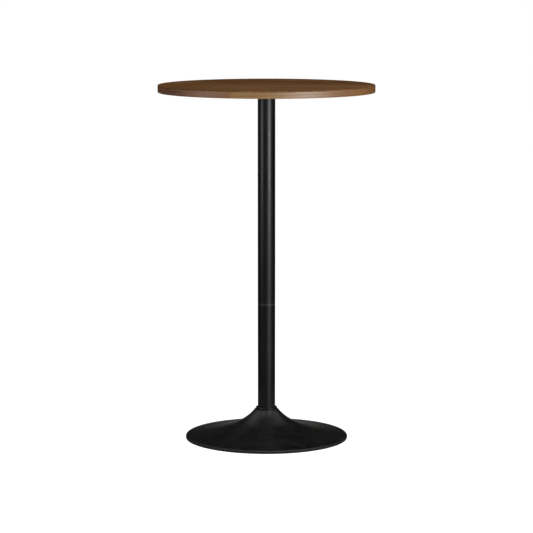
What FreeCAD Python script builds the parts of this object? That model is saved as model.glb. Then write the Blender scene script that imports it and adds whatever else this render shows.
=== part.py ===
import FreeCAD, Part
import math
import os

# A round bar table: a walnut top on a two-part tubular column with a trumpet-shaped foot.
# Millimetres, +Z up. The origin is on the floor, on the axis of the column.

# Driving sizes of the whole table
overall_height = 989.0
top_radius = 300.0
top_thickness = 20.5
column_radius = 24.3
column_wall = 1.5
seam_height = 380.0
rim_radius = 226.5
neck_height = 81.0

# Fits shared by many pieces
press_gap = 0.05
thread_gap = 0.1
slip_gap = 0.3
bolt_hole_gap = 0.5
cut_overrun = 2.0

# Tabletop: walnut sheet over a core board and its edge band, and a backing sheet
face_thickness = 3.0
backing_thickness = 0.75
edge_band_thickness = 2.0
edge_corner_round = 1.6
round_limit_share = 0.9

# Mounting plate under the top
plate_radius = 110.0
plate_thickness = 4.0
plate_edge_round = 1.0
plate_hole_inset = 20.0
plate_screw_count = 4

# Button head screws through the plate, their washers and the inserts in the board
screw_radius = 3.0
screw_head_overhang = 2.25
screw_head_height = 3.3
screw_tip_chamfer = 0.5
screw_tip_gap = 1.0
washer_gap = 0.2
washer_width = 2.8
washer_thickness = 1.6
insert_wall = 1.5
insert_cover = 4.0
insert_barb_count = 4
insert_barb_depth = 0.4
insert_hole_gap = 0.8

# Countersunk bolt between the plate and the column
plate_bolt_radius = 6.0
plate_bolt_length = 28.0
plate_bolt_head_flare = 6.0
plate_bolt_head_land = 0.5

# Threaded plugs in the ends of the tubes, and the stud between the two tubes
plug_length = 30.0
plug_chamfer = 0.8
stud_radius = 10.0
stud_engagement = 24.0
stud_chamfer = 1.5
seam_chamfer = 0.3
seam_taper_inset = 0.6
seam_taper_height = 2.4
wall_cut_share = 0.6

# Collar ring that is welded on the lower tube and bears on the neck of the foot
collar_width = 5.5
collar_height = 6.2
collar_round = 1.8

# Spun shell of the foot
shell_wall = 2.0
shell_neck_round = 1.3
shell_neck_side_gap = 3.5
shell_rim_bend = 2.0
shell_rim_lip = 2.6
flare_reach = 51.0
flare_point_count = 14

# Rubber ring under the rim
floor_ring_thickness = 2.0
floor_ring_width = 11.0
floor_ring_inset = 0.5
floor_ring_upstand_height = 2.0
floor_ring_upstand_width = 3.0

# Sleeve between the neck of the shell and the weight
sleeve_wall = 3.5

# Cast weight inside the shell
ballast_floor_gap = 3.0
ballast_edge_thickness = 5.0
ballast_edge_round = 1.5
ballast_shell_gap = 1.5
ballast_boss_margin = 4.0
ballast_touch_share = 0.56
ballast_recess_margin = 1.0
ballast_recess_side_gap = 3.0
foot_gap = 4.0

# Hexagon bolt through the weight, with its flat and spring washers
base_bolt_radius = 6.0
base_bolt_engagement = 20.0
base_bolt_head_height = 7.5
base_bolt_head_overhang = 3.5
base_bolt_tip_chamfer = 1.0
base_washer_width = 12.0
base_washer_thickness = 3.0
spring_washer_width = 4.2
spring_washer_thickness = 2.5
spring_washer_slit = 1.5

# Hexagon heads and sockets: a socket's sizes are shares of its own screw's radius and head
hexagon_sides = 6
socket_width_share = 0.77
socket_depth_share = 0.6
head_chamfer_angle = 30.0

# Heights that follow from the sizes above
tabletop_bottom = overall_height - top_thickness
core_bottom = tabletop_bottom + backing_thickness
core_top = overall_height - face_thickness
core_radius = top_radius - edge_band_thickness
plate_bottom = tabletop_bottom - plate_thickness
screw_circle_radius = plate_radius - plate_hole_inset
insert_bore_radius = screw_radius + thread_gap
insert_radius = insert_bore_radius + insert_wall
insert_top = core_top - insert_cover
tube_bore_radius = column_radius - column_wall
plug_radius = tube_bore_radius - press_gap
collar_radius = column_radius + collar_width

# Outline of the shell: rim, flare and neck
rim_round = shell_rim_bend + shell_wall
rim_height = floor_ring_thickness + shell_rim_lip + rim_round
rim_bore_radius = rim_radius - shell_wall
flare_edge_radius = rim_radius - rim_round
sleeve_bore_radius = column_radius + slip_gap
sleeve_radius = sleeve_bore_radius + sleeve_wall
neck_bore_radius = sleeve_radius + shell_neck_side_gap
neck_radius = neck_bore_radius + shell_wall
neck_underside = neck_height - shell_wall
flare_top = neck_height - shell_neck_round
neck_closeness = 1.0 / (neck_radius + flare_reach)
edge_closeness = 1.0 / (flare_edge_radius + flare_reach)
flare_gain = (flare_top - rim_height) / (neck_closeness - edge_closeness)


def flare_height(radius):
    """Height of the outer face of the flare: it falls off as one over the distance."""
    return rim_height + flare_gain * (1.0 / (radius + flare_reach) - edge_closeness)


def flare_fall(radius):
    """How steeply the flare falls outwards at a radius."""
    return flare_gain / (radius + flare_reach) ** 2


# Upper face of the weight: the tangent of the flare's underside, which stays below its curve
touch_radius = neck_radius + ballast_touch_share * (flare_edge_radius - neck_radius)
ballast_fall = flare_fall(touch_radius)
ballast_setback = (shell_wall + ballast_shell_gap) * math.hypot(1.0, ballast_fall)
ballast_touch_height = flare_height(touch_radius) - ballast_setback
ballast_bottom = ballast_floor_gap
ballast_edge_top = ballast_bottom + ballast_edge_thickness
ballast_radius = touch_radius + (ballast_touch_height - ballast_edge_top) / ballast_fall
boss_radius = sleeve_radius + ballast_boss_margin
boss_top = ballast_touch_height + ballast_fall * (touch_radius - boss_radius)
tube_foot = boss_top + foot_gap

# Stack of the hexagon bolt in the recess under the weight
recess_depth = (base_bolt_head_height + spring_washer_thickness + base_washer_thickness
                + ballast_recess_margin)
recess_roof = ballast_bottom + recess_depth
base_washer_bottom = recess_roof - base_washer_thickness
spring_washer_bottom = base_washer_bottom - spring_washer_thickness
base_bolt_bottom = spring_washer_bottom - base_bolt_head_height
base_bolt_tip = tube_foot + base_bolt_engagement
base_washer_radius = base_bolt_radius + bolt_hole_gap + base_washer_width


def on_axis(height):
    """Point on the column's axis."""
    return FreeCAD.Vector(0, 0, height)


def section_point(radius, height):
    """Point of a half section in the plane of X and Z."""
    return FreeCAD.Vector(radius, 0, height)


def cylinder(radius, bottom, top):
    """Upright cylinder on the axis."""
    return Part.makeCylinder(radius, top - bottom, on_axis(bottom))


def ring(outer, inner, bottom, top):
    """Upright tube or washer on the axis."""
    bore = cylinder(inner, bottom - cut_overrun, top + cut_overrun)
    return cylinder(outer, bottom, top).cut(bore)


def hexagon(corner_radius, bottom, top):
    """Upright hexagonal prism on the axis."""
    corners = []
    for corner in range(hexagon_sides + 1):
        angle = corner * math.tau / hexagon_sides
        corners.append(FreeCAD.Vector(corner_radius * math.cos(angle),
                                      corner_radius * math.sin(angle), bottom))
    face = Part.Face(Part.makePolygon(corners))
    return face.extrude(on_axis(top - bottom))


class Outline:
    """Closed half section that is drawn edge by edge and turned about the axis."""

    def __init__(self, radius, height):
        self.start = section_point(radius, height)
        self.last = self.start
        self.edges = []

    def line(self, radius, height):
        """Straight edge to a point."""
        target = section_point(radius, height)
        self.edges.append(Part.LineSegment(self.last, target).toShape())
        self.last = target
        return self

    def arc(self, centre_radius, centre_height, size, end_angle):
        """Arc about a centre, from the last point to the end angle in degrees."""
        start_angle = math.degrees(math.atan2(self.last.z - centre_height,
                                              self.last.x - centre_radius))
        turned = []
        for angle in ((start_angle + end_angle) / 2, end_angle):
            reach = math.radians(angle)
            turned.append(section_point(centre_radius + size * math.cos(reach),
                                        centre_height + size * math.sin(reach)))
        self.edges.append(Part.Arc(self.last, turned[0], turned[1]).toShape())
        self.last = turned[1]
        return self

    def curve(self, points):
        """Smooth curve through points, of which the first is the last point drawn."""
        spline = Part.BSplineCurve()
        spline.interpolate(points)
        self.edges.append(spline.toShape())
        self.last = points[-1]
        return self

    def turned(self):
        """Solid of revolution of the closed outline."""
        self.edges.append(Part.LineSegment(self.last, self.start).toShape())
        face = Part.Face(Part.Wire(self.edges))
        return face.revolve(on_axis(0), FreeCAD.Vector(0, 0, 1), 360)


def at_screw_places(shape):
    """Copies of a shape at the screw places of the plate."""
    copies = []
    for place in range(plate_screw_count):
        turn = 360.0 * (place + 0.5) / plate_screw_count
        copy = shape.copy()
        copy.translate(FreeCAD.Vector(screw_circle_radius, 0, 0))
        copy.rotate(on_axis(0), FreeCAD.Vector(0, 0, 1), turn)
        copies.append(copy)
    return Part.makeCompound(copies)


def threaded_plug(bottom, top, thread_radius):
    """Plug that fills a tube end, with chamfered rims and a threaded bore."""
    body = Outline(0, bottom)
    body.line(plug_radius - plug_chamfer, bottom).line(plug_radius, bottom + plug_chamfer)
    body.line(plug_radius, top - plug_chamfer).line(plug_radius - plug_chamfer, top)
    body.line(0, top)
    bore = cylinder(thread_radius + thread_gap, bottom - cut_overrun, top + cut_overrun)
    return body.turned().cut(bore)


def column_tube(bottom, top, chamfer, taper_inset):
    """Tube of the column, with a chamfer on its lower rim or a taper at its upper end."""
    body = Outline(tube_bore_radius, bottom)
    body.line(column_radius - chamfer, bottom)
    if chamfer > 0:
        body.line(column_radius, bottom + chamfer)
    if taper_inset > 0:
        body.line(column_radius, top - seam_taper_height)
    body.line(column_radius - taper_inset, top)
    body.line(tube_bore_radius, top)
    return body.turned()


def make_tabletop_core():
    """Board with four blind holes for the inserts."""
    board = cylinder(core_radius, core_bottom, core_top)
    hole = cylinder(insert_radius + press_gap, core_bottom - cut_overrun,
                    insert_top + insert_hole_gap)
    return board.cut(at_screw_places(hole))


def make_walnut_face():
    """Sheet that covers the board and the edge band, rounded along its upper rim."""
    corner = min(edge_corner_round, face_thickness * round_limit_share)
    sheet = Outline(0, core_top)
    sheet.line(top_radius, core_top).line(top_radius, overall_height - corner)
    sheet.arc(top_radius - corner, overall_height - corner, corner, 90)
    sheet.line(0, overall_height)
    return sheet.turned()


def make_underside_backing():
    """Balancing sheet under the board, with holes at the inserts."""
    sheet = cylinder(core_radius, tabletop_bottom, core_bottom)
    hole = cylinder(insert_radius, tabletop_bottom - cut_overrun, core_bottom + cut_overrun)
    return sheet.cut(at_screw_places(hole))


def make_walnut_edge_band():
    """Strip round the board, under the sheet, rounded along its lower rim."""
    corner = min(edge_corner_round, edge_band_thickness * round_limit_share)
    band = Outline(core_radius, tabletop_bottom)
    band.line(top_radius - corner, tabletop_bottom)
    band.arc(top_radius - corner, tabletop_bottom + corner, corner, 0)
    band.line(top_radius, core_top).line(core_radius, core_top)
    return band.turned()


def make_threaded_inserts():
    """Barbed sleeves in the board that take the plate's screws."""
    step = (insert_top - core_bottom) / insert_barb_count
    sleeve = Outline(insert_bore_radius, core_bottom)
    for barb in range(insert_barb_count):
        foot = core_bottom + barb * step
        sleeve.line(insert_radius, foot)
        sleeve.line(insert_radius - insert_barb_depth, foot + step)
    sleeve.line(insert_bore_radius, insert_top)
    return at_screw_places(sleeve.turned())


def plate_bolt_body(gap):
    """Countersunk bolt on the axis, grown by a gap, with its head level with the plate."""
    head_radius = plate_bolt_radius + plate_bolt_head_flare
    land_bottom = tabletop_bottom - plate_bolt_head_land
    cone_bottom = land_bottom - plate_bolt_head_flare
    body = Outline(0, tabletop_bottom - plate_bolt_length - gap)
    body.line(plate_bolt_radius + gap, tabletop_bottom - plate_bolt_length - gap)
    body.line(plate_bolt_radius + gap, cone_bottom)
    body.line(head_radius + gap, land_bottom)
    body.line(head_radius + gap, tabletop_bottom)
    body.line(0, tabletop_bottom)
    return body.turned()


def make_plate_bolt():
    """Countersunk bolt with a hexagon socket."""
    socket_radius = plate_bolt_radius * socket_width_share
    socket_depth = plate_bolt_head_flare * socket_depth_share
    socket = hexagon(socket_radius, tabletop_bottom - socket_depth,
                     tabletop_bottom + cut_overrun)
    return plate_bolt_body(0).cut(socket)


def make_mounting_plate():
    """Round plate with four screw holes and a countersunk hole at its centre."""
    corner = min(plate_edge_round, plate_thickness * round_limit_share / 2)
    disc = Outline(0, plate_bottom)
    disc.line(plate_radius - corner, plate_bottom)
    disc.arc(plate_radius - corner, plate_bottom + corner, corner, 0)
    disc.line(plate_radius, tabletop_bottom - corner)
    disc.arc(plate_radius - corner, tabletop_bottom - corner, corner, 90)
    disc.line(0, tabletop_bottom)
    hole = cylinder(screw_radius + bolt_hole_gap, plate_bottom - cut_overrun,
                    tabletop_bottom + cut_overrun)
    return disc.turned().cut(at_screw_places(hole)).cut(plate_bolt_body(thread_gap))


def make_plate_washers():
    """Flat washers between the screw heads and the plate."""
    bore = screw_radius + washer_gap
    washer = ring(bore + washer_width, bore, plate_bottom - washer_thickness, plate_bottom)
    return at_screw_places(washer)


def make_plate_screws():
    """Button head screws, heads down, with hexagon sockets."""
    seat = plate_bottom - washer_thickness
    tip = insert_top - screw_tip_gap
    head_radius = screw_radius + screw_head_overhang
    head_bottom = seat - screw_head_height
    crown_radius = (head_radius ** 2 + screw_head_height ** 2) / (2 * screw_head_height)
    screw = Outline(0, head_bottom)
    screw.arc(0, head_bottom + crown_radius, crown_radius,
              -math.degrees(math.acos(head_radius / crown_radius)))
    screw.line(screw_radius, seat)
    screw.line(screw_radius, tip - screw_tip_chamfer)
    screw.line(screw_radius - screw_tip_chamfer, tip).line(0, tip)
    socket = hexagon(screw_radius * socket_width_share, head_bottom - cut_overrun,
                     head_bottom + screw_head_height * socket_depth_share)
    return at_screw_places(screw.turned().cut(socket))


def make_top_plug():
    """Plug at the top of the column, with room for the countersunk head."""
    return threaded_plug(plate_bottom - plug_length, plate_bottom,
                         plate_bolt_radius).cut(plate_bolt_body(thread_gap))


def make_upper_column_tube():
    """Tube from the seam to the plate."""
    chamfer = min(seam_chamfer, column_wall * wall_cut_share)
    return column_tube(seam_height, plate_bottom, chamfer, 0)


def make_upper_joint_plug():
    """Plug above the seam."""
    return threaded_plug(seam_height, seam_height + plug_length, stud_radius)


def make_joining_stud():
    """Stud that joins the plugs above and below the seam."""
    bottom = seam_height - stud_engagement
    top = seam_height + stud_engagement
    inner = stud_radius - stud_chamfer
    stud = Outline(0, bottom)
    stud.line(inner, bottom).line(stud_radius, bottom + stud_chamfer)
    stud.line(stud_radius, top - stud_chamfer).line(inner, top).line(0, top)
    return stud.turned()


def make_lower_joint_plug():
    """Plug below the seam."""
    return threaded_plug(seam_height - plug_length, seam_height, stud_radius)


def make_lower_column_tube():
    """Tube from the hub of the foot to the seam."""
    inset = min(seam_taper_inset, column_wall * wall_cut_share)
    return column_tube(tube_foot, seam_height, 0, inset)


def make_foot_plug():
    """Plug at the foot of the column."""
    return threaded_plug(tube_foot, tube_foot + plug_length, base_bolt_radius)


def make_column_collar():
    """Ring on the lower tube with a rounded upper edge."""
    top = neck_height + collar_height
    corner = min(collar_round, collar_width * round_limit_share,
                 collar_height * round_limit_share)
    collar = Outline(column_radius + press_gap, neck_height)
    collar.line(collar_radius, neck_height)
    collar.line(collar_radius, top - corner)
    collar.arc(collar_radius - corner, top - corner, corner, 90)
    collar.line(column_radius + press_gap, top)
    return collar.turned()


def flare_points(depth):
    """Points along the flare at a depth below its outer face, from the neck outwards."""
    points = []
    for place in range(flare_point_count + 1):
        share = place / flare_point_count
        closeness = neck_closeness + share * (edge_closeness - neck_closeness)
        radius = 1.0 / closeness - flare_reach
        fall = flare_fall(radius)
        stretch = math.hypot(1.0, fall)
        points.append(section_point(radius - depth * fall / stretch,
                                    flare_height(radius) - depth / stretch))
    return points


def make_base_shell():
    """Spun sheet: flat neck with a hole for the tube, flare, and rounded upright rim."""
    outside = flare_points(0)
    inside = list(reversed(flare_points(shell_wall)))
    rim_centre_height = rim_height - rim_round
    shell = Outline(sleeve_bore_radius, neck_height)
    shell.line(neck_radius - shell_neck_round, neck_height)
    shell.arc(neck_radius - shell_neck_round, flare_top, shell_neck_round, 0)
    shell.curve(outside)
    shell.arc(flare_edge_radius, rim_centre_height, rim_round, 0)
    shell.line(rim_radius, floor_ring_thickness)
    shell.line(rim_bore_radius, floor_ring_thickness)
    shell.line(rim_bore_radius, rim_centre_height)
    shell.arc(flare_edge_radius, rim_centre_height, shell_rim_bend, 90)
    shell.line(inside[0].x, inside[0].z)
    shell.curve(inside)
    shell.line(neck_bore_radius, neck_underside)
    shell.line(sleeve_bore_radius, neck_underside)
    return shell.turned()


def make_floor_ring():
    """Rubber ring of L section: a flat foot and a low wall that sits inside the rim."""
    outer = rim_radius - floor_ring_inset
    wall_radius = rim_bore_radius - slip_gap
    wall_top = floor_ring_thickness + floor_ring_upstand_height
    rubber = Outline(outer - floor_ring_width, 0)
    rubber.line(outer, 0).line(outer, floor_ring_thickness)
    rubber.line(wall_radius, floor_ring_thickness).line(wall_radius, wall_top)
    rubber.line(wall_radius - floor_ring_upstand_width, wall_top)
    rubber.line(wall_radius - floor_ring_upstand_width, floor_ring_thickness)
    rubber.line(outer - floor_ring_width, floor_ring_thickness)
    return rubber.turned()


def make_hub_sleeve():
    """Sleeve that stands on the weight and props the neck of the shell."""
    return ring(sleeve_radius, sleeve_bore_radius, boss_top, neck_underside)


def make_ballast_weight():
    """Conical weight with a flat boss on top and a recess for the bolt below."""
    corner = min(ballast_edge_round, ballast_edge_thickness * round_limit_share / 2)
    weight = Outline(0, ballast_bottom)
    weight.line(ballast_radius - corner, ballast_bottom)
    weight.arc(ballast_radius - corner, ballast_bottom + corner, corner, 0)
    weight.line(ballast_radius, ballast_edge_top)
    weight.line(boss_radius, boss_top).line(0, boss_top)
    recess = cylinder(base_washer_radius + ballast_recess_side_gap,
                      ballast_bottom - cut_overrun, recess_roof)
    hole = cylinder(base_bolt_radius + bolt_hole_gap, recess_roof - cut_overrun,
                    boss_top + cut_overrun)
    return weight.turned().cut(recess).cut(hole)


def make_base_washer():
    """Large flat washer against the roof of the recess."""
    return ring(base_washer_radius, base_bolt_radius + bolt_hole_gap, base_washer_bottom,
                recess_roof)


def make_base_spring_washer():
    """Split washer under the flat washer, pressed flat."""
    bore = base_bolt_radius + washer_gap
    outer = bore + spring_washer_width
    washer = ring(outer, bore, spring_washer_bottom, base_washer_bottom)
    slit = Part.makeBox(outer + cut_overrun, spring_washer_slit,
                        spring_washer_thickness + 2 * cut_overrun,
                        FreeCAD.Vector(0, -spring_washer_slit / 2,
                                       spring_washer_bottom - cut_overrun))
    return washer.cut(slit)


def make_base_bolt():
    """Hexagon bolt, head down, with a chamfered head and tip."""
    flat_radius = base_bolt_radius + base_bolt_head_overhang
    corner_radius = flat_radius / math.cos(math.pi / hexagon_sides)
    head = hexagon(corner_radius, base_bolt_bottom, spring_washer_bottom)
    chamfer = (corner_radius - flat_radius) * math.tan(math.radians(head_chamfer_angle))
    trim = Outline(0, base_bolt_bottom)
    trim.line(flat_radius, base_bolt_bottom)
    trim.line(corner_radius, base_bolt_bottom + chamfer)
    trim.line(corner_radius, spring_washer_bottom).line(0, spring_washer_bottom)
    shank = Outline(0, spring_washer_bottom)
    shank.line(base_bolt_radius, spring_washer_bottom)
    shank.line(base_bolt_radius, base_bolt_tip - base_bolt_tip_chamfer)
    shank.line(base_bolt_radius - base_bolt_tip_chamfer, base_bolt_tip)
    shank.line(0, base_bolt_tip)
    return head.common(trim.turned()).fuse(shank.turned()).removeSplitter()


makers = {
    "tabletop_core": make_tabletop_core,
    "walnut_face": make_walnut_face,
    "walnut_edge_band": make_walnut_edge_band,
    "underside_backing": make_underside_backing,
    "threaded_inserts": make_threaded_inserts,
    "mounting_plate": make_mounting_plate,
    "plate_washers": make_plate_washers,
    "plate_screws": make_plate_screws,
    "plate_bolt": make_plate_bolt,
    "top_plug": make_top_plug,
    "upper_column_tube": make_upper_column_tube,
    "upper_joint_plug": make_upper_joint_plug,
    "joining_stud": make_joining_stud,
    "lower_joint_plug": make_lower_joint_plug,
    "lower_column_tube": make_lower_column_tube,
    "foot_plug": make_foot_plug,
    "column_collar": make_column_collar,
    "base_shell": make_base_shell,
    "hub_sleeve": make_hub_sleeve,
    "ballast_weight": make_ballast_weight,
    "base_washer": make_base_washer,
    "base_spring_washer": make_base_spring_washer,
    "base_bolt": make_base_bolt,
    "floor_ring": make_floor_ring,
}

os.makedirs("parts", exist_ok=True)
for name, make in makers.items():
    shape = make()
    shape.exportStep("parts/" + name + ".step")
    box = shape.BoundBox
    print(name, "solids", len(shape.Solids), "valid", shape.isValid(),
          "volume", round(shape.Volume, 1), "z", round(box.ZMin, 2), round(box.ZMax, 2))
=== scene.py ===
"""Looks of a round bar table: walnut top, satin black column and weighted trumpet foot."""

import logging
import math
from dataclasses import dataclass
from enum import Enum

import bmesh
import bpy
from mathutils import Matrix, Vector


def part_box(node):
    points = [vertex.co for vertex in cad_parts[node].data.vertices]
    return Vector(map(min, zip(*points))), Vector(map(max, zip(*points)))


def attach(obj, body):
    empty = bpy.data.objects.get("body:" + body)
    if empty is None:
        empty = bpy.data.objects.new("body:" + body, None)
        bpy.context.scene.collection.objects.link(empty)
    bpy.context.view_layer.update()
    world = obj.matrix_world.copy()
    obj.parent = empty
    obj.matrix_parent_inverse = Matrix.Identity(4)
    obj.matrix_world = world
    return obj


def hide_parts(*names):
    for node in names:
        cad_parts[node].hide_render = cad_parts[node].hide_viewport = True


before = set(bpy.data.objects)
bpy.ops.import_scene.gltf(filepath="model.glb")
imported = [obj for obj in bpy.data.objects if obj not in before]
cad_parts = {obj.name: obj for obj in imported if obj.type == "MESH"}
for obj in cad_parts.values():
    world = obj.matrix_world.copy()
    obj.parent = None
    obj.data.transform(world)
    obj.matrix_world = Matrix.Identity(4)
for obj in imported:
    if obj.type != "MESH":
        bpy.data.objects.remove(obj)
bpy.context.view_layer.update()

log = logging.getLogger("bar_table")

BODY = "root"
AXIS = (0.0, 0.0, 1.0)
CENTRE = (0.0, 0.0, 0.0)
QUARTER = math.pi / 2
MERGE_DISTANCE = 1e-6
RIM_TOLERANCE = 2e-5
SHARP_ANGLE = math.radians(32)
HEXAGON_SIDES = 6

# Numbers of the colour sockets on the Mix node
MIX_FACTOR = 0
MIX_FIRST = 6
MIX_SECOND = 7
MIX_RESULT = 2

Colour = tuple[float, float, float]
Scale = tuple[float, float, float]
Range = tuple[float, float]
Socket = bpy.types.NodeSocket


class Facets(Enum):
    """Segments of a full turn, by how large the piece shows."""

    LARGE = 288
    MEDIUM = 144
    SMALL = 64
    FINE_ARC = 6
    PLAIN_ARC = 4


class GrainRun(Enum):
    """Which way the fibres of a wooden piece run."""

    ACROSS_THE_TOP = "along X"
    ROUND_THE_RIM = "along the circumference"


@dataclass(frozen=True)
class Span:
    """Outer radius and height range of a round CAD node, in metres."""

    radius: float
    bottom: float
    top: float


def span_of(node: str) -> Span:
    """Measure a round CAD node: its outer radius, lowest and highest point."""
    low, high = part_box(node)
    return Span(high.x, low.z, high.z)


class Lathe:
    """Half outline that is extruded point by point and spun about the column's axis."""

    def __init__(self, radius: float, height: float) -> None:
        """Start the outline.

        Args:
            radius: Distance of the first point from the axis.
            height: Height of the first point.
        """
        self.mesh = bmesh.new()
        self.first = self.mesh.verts.new((radius, 0.0, height))
        self.tip = self.first

    @classmethod
    def ring(cls, bore: float, radius: float, bottom: float, top: float) -> "Lathe":
        """Draw a plain ring's closed outline, by its two radii and the heights of its faces."""
        outline = cls(bore, bottom).line(radius, bottom).line(radius, top)
        return outline.line(bore, top).close()

    def line(self, radius: float, height: float) -> "Lathe":
        """Extrude a straight edge.

        Args:
            radius: Distance of the new point from the axis.
            height: Height of the new point.

        Returns:
            The same outline, so that calls can be chained.
        """
        grown = bmesh.ops.extrude_vert_indiv(self.mesh, verts=[self.tip])
        self.tip = grown["verts"][0]
        self.tip.co = (radius, 0.0, height)
        return self

    def arc(self, centre: tuple[float, float], size: float, start: float, end: float,
            facets: Facets) -> "Lathe":
        """Extrude edges along an arc, from its first point on.

        Args:
            centre: Radius and height of the arc's centre.
            size: Radius of the arc.
            start: Angle of its first point above the outward direction, in radians.
            end: Angle of its last point.
            facets: Segments of the arc.

        Returns:
            The same outline.
        """
        for step in range(facets.value + 1):
            angle = start + (end - start) * step / facets.value
            self.line(centre[0] + size * math.cos(angle), centre[1] + size * math.sin(angle))
        return self

    def close(self) -> "Lathe":
        """Join the last point to the first one."""
        self.mesh.edges.new((self.tip, self.first))
        return self

    def spun(self, facets: Facets, gap: float = 0.0) -> bmesh.types.BMesh:
        """Spin the outline into a closed shape.

        Args:
            facets: Segments of the turn.
            gap: Angle that is left open at the back, in radians.

        Returns:
            The bmesh, with its doubles merged and its normals outwards.
        """
        geometry = self.mesh.verts[:] + self.mesh.edges[:]
        if gap:
            turn = Matrix.Rotation(QUARTER + gap / 2, 4, "Z")
            bmesh.ops.transform(self.mesh, matrix=turn, verts=self.mesh.verts)
        bmesh.ops.spin(self.mesh, geom=geometry, cent=CENTRE, axis=AXIS,
                       angle=math.tau - gap, steps=facets.value, use_merge=not gap)
        bmesh.ops.remove_doubles(self.mesh, verts=self.mesh.verts, dist=MERGE_DISTANCE)
        if gap:
            open_edges = [edge for edge in self.mesh.edges if edge.is_boundary]
            bmesh.ops.holes_fill(self.mesh, edges=open_edges)
        bmesh.ops.recalc_face_normals(self.mesh, faces=self.mesh.faces)
        return self.mesh


def soften_rim(mesh: bmesh.types.BMesh, radius: float, height: float, size: float,
               facets: Facets = Facets.PLAIN_ARC) -> None:
    """Round the ring of edges that passes through one corner of the outline.

    Args:
        mesh: Spun shape.
        radius: Radius of the ring.
        height: Height of the ring.
        size: Radius of the rounding.
        facets: Segments of the rounding.
    """
    ring = []
    for edge in mesh.edges:
        if all(abs(math.hypot(v.co.x, v.co.y) - radius) < RIM_TOLERANCE
               and abs(v.co.z - height) < RIM_TOLERANCE for v in edge.verts):
            ring.append(edge)
    bmesh.ops.bevel(mesh, geom=ring, offset=size, offset_type="OFFSET", segments=facets.value,
                    profile=0.5, affect="EDGES", material=-1, clamp_overlap=True)


def sink_hexagon(mesh: bmesh.types.BMesh, corner_radius: float, mouth: float,
                 floor: float) -> None:
    """Close an open round mouth with a hexagon socket.

    Args:
        mesh: Shape whose only open edges are the mouth's ring.
        corner_radius: Distance of the socket's corners from the axis.
        mouth: Height of the socket's mouth.
        floor: Height of the socket's floor.
    """
    mouth_ring = [edge for edge in mesh.edges if edge.is_boundary]
    bmesh.ops.create_circle(mesh, segments=HEXAGON_SIDES, radius=corner_radius,
                            matrix=Matrix.Translation((0.0, 0.0, mouth)))
    rim = [edge for edge in mesh.edges if edge.is_wire]
    bmesh.ops.bridge_loops(mesh, edges=mouth_ring + rim)
    grown = bmesh.ops.extrude_edge_only(mesh, edges=rim)["geom"]
    deep = [item for item in grown if isinstance(item, bmesh.types.BMVert)]
    bmesh.ops.translate(mesh, verts=deep, vec=(0.0, 0.0, floor - mouth))
    bottom = [edge for edge in mesh.edges if edge.is_boundary]
    bmesh.ops.holes_fill(mesh, edges=bottom)


def repeat_round(mesh: bmesh.types.BMesh, radius: float, count: int) -> None:
    """Move a shape out to a circle and copy it round the axis.

    Args:
        mesh: Shape that was made on the axis.
        radius: Radius of the circle.
        count: Number of places.
    """
    first = Matrix.Rotation(math.pi / count, 4, "Z") @ Matrix.Translation((radius, 0.0, 0.0))
    bmesh.ops.transform(mesh, matrix=first, verts=mesh.verts)
    geometry = mesh.verts[:] + mesh.edges[:] + mesh.faces[:]
    for place in range(1, count):
        copied = bmesh.ops.duplicate(mesh, geom=geometry)["geom"]
        verts = [item for item in copied if isinstance(item, bmesh.types.BMVert)]
        bmesh.ops.rotate(mesh, cent=CENTRE, verts=verts,
                         matrix=Matrix.Rotation(place * math.tau / count, 3, "Z"))


def place_object(name: str, data: bpy.types.ID) -> bpy.types.Object:
    """Put an object in the scene.

    Args:
        name: Name of the object.
        data: Its mesh, lamp or camera data.

    Returns:
        The new object.
    """
    placed = bpy.data.objects.new(name, data)
    bpy.context.scene.collection.objects.link(placed)
    return placed


def place_mesh(mesh: bmesh.types.BMesh, name: str,
               material: bpy.types.Material) -> bpy.types.Object:
    """Turn a finished bmesh into an object of the scene.

    Args:
        mesh: Finished shape, which is freed.
        name: Name of the object.
        material: Its material.

    Returns:
        The new object.
    """
    data = bpy.data.meshes.new(name)
    mesh.to_mesh(data)
    mesh.free()
    data.materials.append(material)
    return place_object(name, data)


def add_piece(mesh: bmesh.types.BMesh, name: str, material: bpy.types.Material, slot: str,
              *nodes: str) -> bpy.types.Object:
    """Turn a finished bmesh into a piece that rides on the table.

    Args:
        mesh: Finished shape, which is freed.
        name: Name of the piece.
        material: Its finish.
        slot: The record's material slot; not used.
        nodes: CAD nodes that the piece stands for.

    Returns:
        The new object.
    """
    bmesh.ops.recalc_face_normals(mesh, faces=mesh.faces)
    piece = place_mesh(mesh, name, material)
    piece.data.polygons.foreach_set("use_smooth", [True] * len(piece.data.polygons))
    piece.data.set_sharp_from_angle(angle=SHARP_ANGLE)
    evened = piece.modifiers.new("even_normals", "WEIGHTED_NORMAL")
    evened.keep_sharp = True
    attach(piece, BODY)
    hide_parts(*nodes)
    log.info("piece %s stands for %s", name, ", ".join(nodes))
    return piece


def dress_node(node: str, material: bpy.types.Material) -> bpy.types.Object:
    """Give a CAD node that stays its finish.

    Args:
        node: Name of the CAD node.
        material: Its finish.

    Returns:
        The node's object.
    """
    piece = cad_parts[node]
    piece.data.materials.clear()
    piece.data.materials.append(material)
    log.info("node %s keeps its own shape", node)
    return piece


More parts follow.
